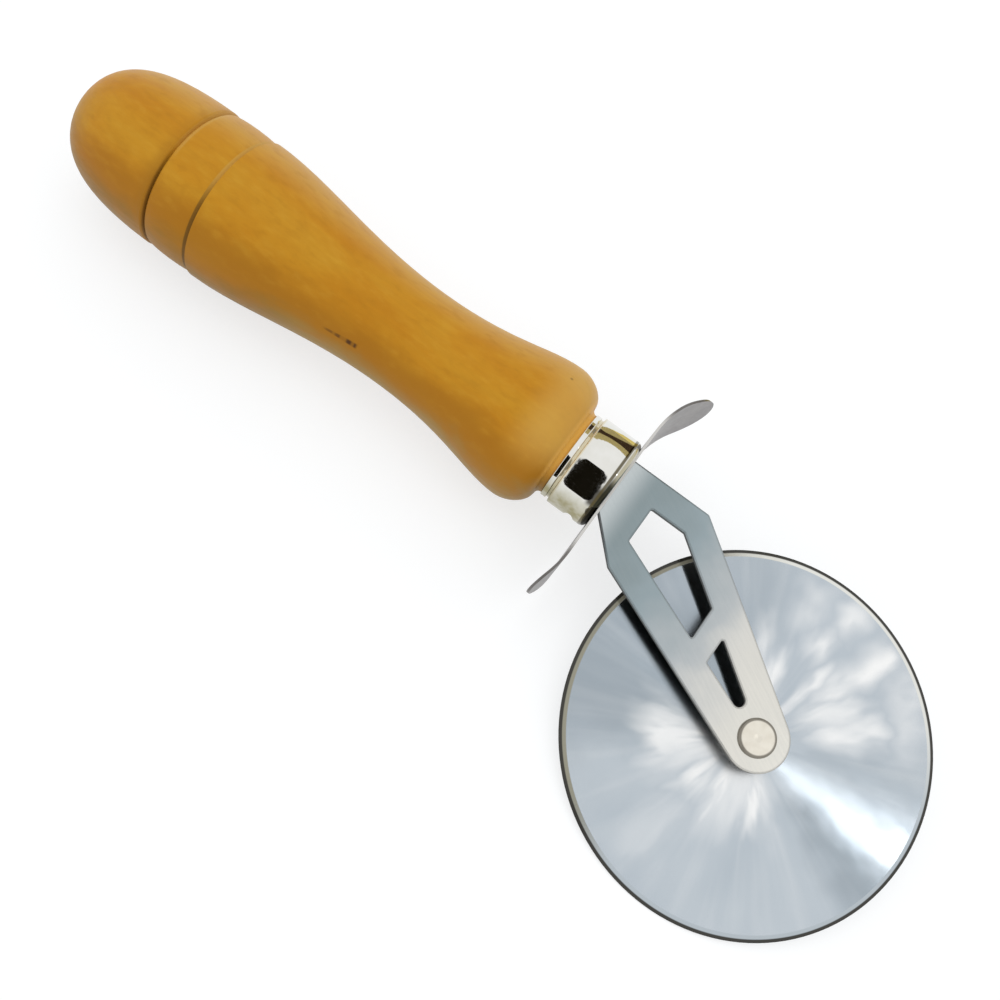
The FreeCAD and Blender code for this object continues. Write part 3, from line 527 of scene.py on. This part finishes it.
def nickel_material():
    """Bright plating, yellowed in its groove, darker underneath as a painted reflection of the shaded table,
    with painted dark reflections and a pale painted lip near its front edge, and painted black shade low in
    the gap to the guard.
    """
    material, n = new_material("nickel_plate")
    place = n.place_mm()
    x, y = n.split(place)[0:2]
    behind = n.math("SUBTRACT", FERRULE_FRONT_X, x)
    under = n.underside(place)
    waves = n.noise(place, 0.35, 2.0)
    rubs = n.noise(place, (6.0, 0.4, 0.4), 3.0)
    mottle = n.vary(n.noise(place, 0.45, 2.0), 0.65, 1.0)
    yellowed = n.span(n.off(x, ROLLED_GROOVE_X), 0.3, 0.8, 0.7, 0.0)
    grooved = n.mix(yellowed, n.tones(waves, PLATE), PLATE_YELLOWED)
    # Painted shade underneath: a reflection of the shaded table
    underside_shaded = n.mix(n.times(n.span(under, 0.42, 0.85), mottle), grooved, PLATE_UNDERSIDE_SHADE)
    lower = n.times(n.span(under, 0.05, 0.25), n.span(under, 0.62, 0.5))
    # Painted dark reflection low on the ferrule, behind its front edge
    dark_reflection = n.times(lower, n.span(behind, *FERRULE_DARK_REFLECTION), 0.9)
    dark_reflected = n.mix(dark_reflection, underside_shaded, PLATE_DARK_REFLECTION)
    # Painted reflections near the front edge: a dark line, then a pale lip
    lined = n.mix(n.span(n.off(behind, FERRULE_LINE), 0.2, 0.45, 0.9, 0.0), dark_reflected, PLATE_LINE_REFLECTION)
    lipped = n.mix(n.span(behind, *FERRULE_LIP, 0.0, 0.8), lined, PLATE_LIP_REFLECTION)
    # Painted shade in the gap to the guard, black only on the low side
    gap_shade = n.times(n.span(behind, *FERRULE_GAP_SHADE), n.span(y, *FERRULE_GAP_SHADE_Y, 0.0, 0.95))
    n.principled(
        {
            "Base Color": n.mix(gap_shade, lipped, PLATE_GAP_SHADE),
            "Metallic": n.span(yellowed, 0.0, 0.7, 1.0, 0.6),
            "Roughness": n.vary(rubs, 0.018, 0.026),
            "Normal": n.bump(waves, 0.004),
        }
    )
    return material


def guard_material():
    """Satin sheet steel, a little mauve, with sheared edges painted as a highlight in the middle and as a
    dark reflection on the wings.
    """
    material, n = new_material("guard_satin_steel")
    place = n.place_mm()
    cloud = n.noise(place, 0.25, 3.0)
    lines = n.noise(place, (2.0, 0.12, 6.0), 3.0)
    sheared = n.span(n.unsigned(n.facing(ALONG_X)), 0.45, 0.75, 0.75, 0.0)
    wing = n.span(n.unsigned(n.split(place)[1]), *WING_Y)
    # Painted light on the sheared edges: a pale highlight in the middle, a dark reflection on the wings
    cut = n.mix(wing, CUT_EDGE_HIGHLIGHT, CUT_EDGE_DARK_REFLECTION)
    n.principled(
        {
            "Base Color": n.mix(sheared, n.tones(cloud, SHEET), cut),
            "Metallic": 1.0,
            "Roughness": n.vary(lines, 0.34, 0.44),
            "Normal": n.bump(lines, 0.004),
        }
    )
    return material


def arm_material():
    """Satin steel brushed along the strap, painted paler towards the rivet and by the guard as reflections,
    with painted dark reflections on its edges and rough walls, and painted shade on its back.
    """
    material, n = new_material("arm_satin_steel")
    place = n.place_mm()
    x = n.split(place)[0]
    cloud = n.noise(place, 0.09, 3.0)
    fine = n.noise(place, (1.2, 3.0, 3.0), 4.0, 0.6)
    lines = n.noise(n.turned(place, (0.0, 0.0, STRAP_ANGLE)), (0.10, 1.8, 1.8), 3.0, 0.6)
    facing = n.facing(AXLE)
    wall = n.span(n.unsigned(facing), 0.7, 0.95, 0.85, 0.0)
    # Painted shade on the arm's back, which faces the blade
    back = n.span(facing, -0.3, -0.6)
    drift = n.math("ADD", x, n.vary(cloud, -3.0, 3.0))
    # Painted reflection: dark blue grey at the root, warm and pale by the rivet
    front = n.ramp(n.span(drift, *ARM_REFLECTION_FADE_X), *ARM_FRONT_REFLECTION)
    # Painted reflection of the guard, next to it
    lit = n.mix(n.span(x, *ARM_GUARD_REFLECTION_X), front, ARM_GUARD_REFLECTION)
    brushed = n.mix(n.vary(lines, 0.0, 0.11), lit, ARM_BRUSHED)
    # Painted dark reflection along the arm's edges
    edge_reflected = n.mix(n.times(n.near_edge(ARM_EDGE_REFLECTION_REACH), 0.85), brushed, ARM_EDGE_DARK_REFLECTION)
    # Rough cut walls, painted near black as a dark reflection
    wall_reflected = n.mix(wall, edge_reflected, ARM_WALL_DARK_REFLECTION)
    rough = n.math("ADD", n.vary(fine, 0.14, 0.18), n.times(wall, 0.6))
    n.principled(
        {
            "Base Color": n.mix(back, wall_reflected, ARM_BACK_SHADE),
            "Metallic": n.span(wall, 0.0, 0.85, 1.0, 0.1),
            "Roughness": n.math("ADD", rough, n.times(back, 0.25)),
            "Normal": n.bump(fine, 0.0005),
        }
    )
    return material


def marks(n, angle, length, rows):
    """The strongest of several marks that fade out at their sides and ends."""
    most = 0.0
    for middle, half, near, far, strength in rows:
        across = n.span(n.off(angle, middle), half * MARK_SPREAD, 0.0, 0.0, strength)
        start = n.span(length, near + MARK_START[0], near + MARK_START[1])
        end = n.span(length, far + MARK_END[0], far + MARK_END[1])
        most = n.math("MAXIMUM", most, n.times(across, n.times(start, end)))
    return most


def polish(n, offset, radius, heading):
    """The blade's face: sectors darkened by painted shade, faint painted rays of highlight, and painted
    highlights below the hub and in separate marks.
    """
    outward = n.along_z(n.times(radius, 0.05))
    streaks = n.noise(n.vector("ADD", n.scaled(heading, 2.4), outward), 1.0, 2.0)
    rays = n.noise(n.vector("ADD", n.scaled(heading, 8.0), n.scaled(outward, 0.5)), 1.0, 2.0)
    longer = n.along_z(n.times(radius, 0.09))
    smears = n.noise(n.vector("ADD", n.scaled(heading, 5.0), longer), 1.0, 2.0, 0.45)
    x, y = n.split(offset)[0:2]
    wander = n.span(n.noise(offset, 0.12, 1.0), 0.25, 0.75, -2.5, 2.5)
    angle = n.math("ADD", n.times(n.math("ARCTAN2", y, x), HALF_TURN / math.pi), wander)
    length = n.math("ADD", radius, n.span(smears, 0.25, 0.75, 2.5, -2.5))
    away = n.math("SUBTRACT", HALF_TURN, n.unsigned(angle))
    # Painted shade: darker sectors, widest towards the handle
    by_handle = n.span(away, HANDLE_SHADE_HALF, HANDLE_SHADE_FULL)
    sector_shade = n.math("MAXIMUM", marks(n, angle, length, SHADED_SECTORS), by_handle)
    sector_shaded = n.mix(n.times(sector_shade, 0.8), n.tones(streaks, FACE), FACE_SHADE)
    # Painted highlight: faint bright rays
    rayed = n.mix(n.span(rays, 0.42, 0.72, 0.0, 0.09), sector_shaded, FACE_HIGHLIGHT)
    reach = n.math("ADD", radius, n.vary(streaks, 5.0, -5.0))
    below = n.span(n.vector("DOT_PRODUCT", heading, BELOW_HUB), 0.2, 0.7)
    # Painted highlight below the hub
    glow = n.times(n.span(reach, *HUB_HIGHLIGHT_RADII, 0.0, 0.8), below)
    painted_highlights = n.times(marks(n, angle, length, HIGHLIGHT_MARKS), n.span(smears, 0.35, 0.6, 0.6, 1.15))
    return n.mix(n.times(n.math("MAXIMUM", glow, painted_highlights), 0.9), rayed, FACE_HIGHLIGHT)


def ground_edge(n, offset, radius, heading):
    """The blade's bevel: painted reflections, olive-brown on the handle's side and paler on the upper side,
    with a dark line right at the edge.
    """
    # Painted reflection: olive-brown on the handle's side of the bevel
    handle_side_reflection = n.span(n.vector("DOT_PRODUCT", heading, TOWARDS_HANDLE), 0.3, 0.75)
    # Painted reflection: paler on the upper side of the bevel
    upper = n.mix(n.span(n.split(offset)[1], *UPPER_EDGE_Y), BEVEL_LOWER, BEVEL_UPPER_REFLECTION)
    ground = n.mix(handle_side_reflection, upper, BEVEL_HANDLE_SIDE_REFLECTION)
    return n.mix(n.span(radius, *EDGE_LINE_RADII), ground, BEVEL_EDGE)


def blade_material():
    """Steel polished in circles, with painted highlights in places, and a ground edge."""
    material, n = new_material("blade_circular_polish")
    from_hub = n.vector("SUBTRACT", n.place_mm(), tuple(HUB))
    offset = n.vector("MULTIPLY", from_hub, (1.0, 1.0, 0.0))
    radius = n.vector("LENGTH", offset)
    heading = n.vector("NORMALIZE", offset)
    dents = n.noise(offset, 0.09, 2.0)
    along_radius = {"W": n.times(radius, 1.5), "Detail": 2.0}
    rings = n.add("TexNoise", along_radius, noise_dimensions="1D").outputs["Fac"]
    bevel = n.span(radius, *BEVEL_RADII)
    face = polish(n, offset, radius, heading)
    edge = ground_edge(n, offset, radius, heading)
    tangent = n.add(
        "VectorTransform",
        {"Vector": n.turned(heading, (ROLL, 0.0, 0.0))},
        vector_type="VECTOR",
        convert_from="OBJECT",
        convert_to="WORLD",
    ).outputs[0]
    n.principled(
        {
            "Base Color": n.mix(bevel, face, edge),
            "Metallic": n.span(bevel, 0.0, 1.0, 1.0, 0.2),
            "Roughness": n.vary(rings, 0.17, 0.20),
            "Anisotropic": 1.0,
            "Tangent": tangent,
            "Normal": n.bump(dents, 0.05),
        }
    )
    return material


def rivet_material():
    """Pale plated rivet with a clouded face, and painted dark reflection and shadow round its edge."""
    material, n = new_material("rivet_plate")
    place = n.place_mm()
    cloud = n.noise(place, 0.6, 3.0)
    offset = n.vector("SUBTRACT", n.add("TexCoord").outputs["Object"], tuple(AXLE_PLACE))
    height = n.vector("DOT_PRODUCT", offset, tuple(AXLE))
    radial = n.vector("SUBTRACT", offset, n.scaled(tuple(AXLE), height))
    radius = n.times(n.vector("LENGTH", radial), PER_METRE)
    # Painted dark reflection and contact shadow round the head's edge
    edge = n.span(radius, *HEAD_EDGE_RADII, 0.0, 0.85)
    n.principled(
        {
            "Base Color": n.mix(edge, n.tones(cloud, RIVET), RIVET_EDGE_SHADE),
            "Metallic": 1.0,
            "Roughness": n.vary(n.noise(place, 1.5, 2.0), 0.30, 0.36),
            "Normal": n.bump(cloud, 0.002),
        }
    )
    return material


def washer_material():
    """Plain turned steel."""
    material, n = new_material("plain_steel")
    cloud = n.noise(n.place_mm(), 0.8, 3.0)
    n.principled(
        {
            "Base Color": n.tones(cloud, WASHER),
            "Metallic": 1.0,
            "Roughness": n.vary(cloud, 0.3, 0.45),
        }
    )
    return material


FINISHES = {
    wood_material: ["handle"],
    nickel_material: ["ferrule"],
    guard_material: ["finger_guard"],
    arm_material: ["wheel_arm"],
    blade_material: ["wheel_blade"],
    rivet_material: ["axle_rivet"],
    washer_material: ["front_washer", "hub_bush", "back_washer"],
}


def dress_nodes():
    """Give each CAD node its finish, in the slots that it has."""
    for make, names in FINISHES.items():
        material = make()
        for name in names:
            for slot in frame["nodes"][name].material_slots:
                slot.material = material


def link(name, data):
    """A new object of the scene."""
    thing = bpy.data.objects.new(name, data)
    bpy.context.scene.collection.objects.link(thing)
    return thing


def seen_directly(n):
    """1 for rays from the camera and for what metal shows, 0 for light that falls on things."""
    path = n.add("LightPath").outputs
    return n.math("MAXIMUM", path["Is Camera Ray"], path["Is Glossy Ray"])


def floor():
    """White table. Seen directly it glows up to white, and it keeps the tool's shadow."""
    low, high = -FLOOR_HALF, FLOOR_HALF
    corners = [(low, low, FLOOR_Z), (high, low, FLOOR_Z), (high, high, FLOOR_Z), (low, high, FLOOR_Z)]
    mesh = bpy.data.meshes.new("floor")
    mesh.from_pydata(corners, [], [(0, 1, 2, 3)])
    thing = link("floor", mesh)
    material, n = new_material("pale_table")
    speckle = n.noise(n.place_mm(), 0.02, 2.0)
    pale = n.mix(n.vary(speckle, 0.0, 0.02), FLOOR_PALE, FLOOR_GREY)
    plain = n.add("BsdfDiffuse", {"Color": pale}).outputs[0]
    shade = n.add("BsdfDiffuse", {"Color": FLOOR_SHOWN}).outputs[0]
    glow = n.add("Emission", {"Strength": FLOOR_GLOW}).outputs[0]
    shown = n.add("AddShader", {0: shade, 1: glow}).outputs[0]
    n.surface(n.add("MixShader", {0: seen_directly(n), 1: plain, 2: shown}).outputs[0])
    mesh.materials.append(material)


def world():
    """Even light on things, and a plain white surround behind them and in what metal shows."""
    scene_world = bpy.data.worlds.new("surround")
    scene_world.use_nodes = True
    bpy.context.scene.world = scene_world
    n = Nodes(scene_world.node_tree)
    fill = n.add("Background", {"Color": FILL_COLOUR, "Strength": FILL_STRENGTH}).outputs[0]
    shown = n.add("Background", {"Color": WHITE, "Strength": 1.0}).outputs[0]
    mixed = n.add("MixShader", {0: seen_directly(n), 1: fill, 2: shown}).outputs[0]
    n.tree.links.new(mixed, n.add("OutputWorld").inputs["Surface"])


def softbox(name, place, aim, width, depth, radiance):
    """A lit panel of one brightness, placed and aimed in the tool's own frame, its width across X."""
    lamp = bpy.data.lights.new(name, "AREA")
    lamp.shape = "RECTANGLE"
    lamp.size = width
    lamp.size_y = depth
    lamp.energy = radiance * math.pi * width * depth
    thing = link(name, lamp)
    back = (Vector(place) - Vector(aim)).normalized()
    side = (Vector(ALONG_X) - back * back.x).normalized()
    axes = Matrix((side, back.cross(side), back)).transposed().to_4x4()
    thing.matrix_world = ROLLED @ Matrix.Translation(place) @ axes
    return thing


def lights():
    """A window that metal does not show, and a strip with a dimmer border for the flare on the blade."""
    window = softbox("window", WINDOW_PLACE, WINDOW_AIM, width=0.397, depth=1.125, radiance=0.6)
    window.visible_glossy = False
    softbox("flare_strip", FLARE_PLACE, FLARE_AIM, width=0.12, depth=0.032, radiance=5.0)
    softbox("flare_border", FLARE_BORDER_PLACE, FLARE_AIM, width=0.12, depth=0.022, radiance=0.9)


def card(name, points, faces, colour):
    """A studio cloth that shows in reflections only."""
    mesh = bpy.data.meshes.new(name)
    mesh.from_pydata(points, [], faces)
    thing = link(name, mesh)
    material, n = new_material(name + "_cloth")
    n.surface(n.add("BsdfDiffuse", {"Color": (*colour, 1.0)}).outputs[0])
    mesh.materials.append(material)
    for kind in ("camera", "diffuse", "transmission", "volume_scatter", "shadow"):
        setattr(thing, "visible_" + kind, False)
    return thing


def dark_card(name, left, right, top, steps=32):
    """Dark curtain behind the camera, with rounded corners. Unlike the other cloths it also stops light.

    Its top is an angle round the tool's X, in degrees.
    """
    high = math.radians(top)
    points = []
    for step in range(steps + 1):
        angle = CURTAIN_FOOT + (high - CURTAIN_FOOT) * step / steps
        from_end = min(angle - high, CURTAIN_FOOT - angle)
        share = min(from_end / CURTAIN_ROUNDING, 1.0)
        inset = CURTAIN_CORNER * (1.0 - math.sqrt(1.0 - (1.0 - share) ** 2))
        for side in (left + inset, right - inset):
            points.append((side, CURTAIN_REACH * math.cos(angle), CURTAIN_REACH * math.sin(angle)))
    faces = [(2 * k, 2 * k + 1, 2 * k + 3, 2 * k + 2) for k in range(steps)]
    curtain = card(name, points, faces, CURTAIN_DARK)
    curtain.matrix_world = ROLLED
    curtain.visible_shadow = True


def gold_card():
    """Gold cloth lying on the table beyond the ferrule, cut slanting towards the handle."""
    height = FLOOR_Z + MILLIMETRE
    points = [(x, y, height) for x, y in GOLD_OUTLINE]
    card("gold_card", points, [tuple(range(len(points)))], GOLD)


def standing_card(name, away, foot, tilt, highest_foot, dip, rise, colour, steps=40):
    """Cloth hung beyond the ferrule: a slanting foot, and a top that dips in the middle."""
    points = []
    for step in range(steps + 1):
        x = CLOTH_LEFT + (CLOTH_RIGHT - CLOTH_LEFT) * step / steps
        bottom = min(max(foot + tilt * (x - CLOTH_MIDDLE), FLOOR_Z), highest_foot)
        bend = min(((x - CLOTH_MIDDLE) / CLOTH_BEND_SIDE) ** 2, CLOTH_MOST_BEND)
        points.append((x, away, bottom))
        points.append((x, away, dip + rise * bend))
    faces = [(2 * k, 2 * k + 2, 2 * k + 3, 2 * k + 1) for k in range(steps)]
    card(name, points, faces, colour)


def cards():
    """What the ferrule mirrors: dark behind the camera, gold, olive and brown beyond the tool."""
    dark_card("dark_card", left=0.0312, right=0.0552, top=93.0)
    dark_card("dark_strip", left=0.004, right=0.0288, top=109.0)
    gold_card()
    standing_card(
        "olive_card",
        away=0.40,
        foot=-0.148,
        tilt=-17.5,
        highest_foot=0.081,
        dip=0.33,
        rise=0.095,
        colour=OLIVE,
    )
    standing_card(
        "brown_card",
        away=0.39,
        foot=0.078,
        tilt=-7.9,
        highest_foot=0.15,
        dip=0.192,
        rise=0.055,
        colour=BROWN,
    )


def camera():
    """The photograph's camera, taken from the tool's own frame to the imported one."""
    data = bpy.data.cameras.new("camera")
    data.lens = LENS
    data.sensor_width = SENSOR
    data.clip_start = CLIP_START
    thing = link("camera", data)
    right = CAMERA_FORWARD.cross(CAMERA_UP)
    axes = Matrix((right, CAMERA_UP, -CAMERA_FORWARD)).transposed().to_4x4()
    thing.matrix_world = ROLLED @ Matrix.Translation(CAMERA_PLACE) @ axes
    bpy.context.scene.camera = thing


dress_nodes()
floor()
world()
lights()
cards()
camera()
bpy.context.scene.view_settings.view_transform = "Standard"
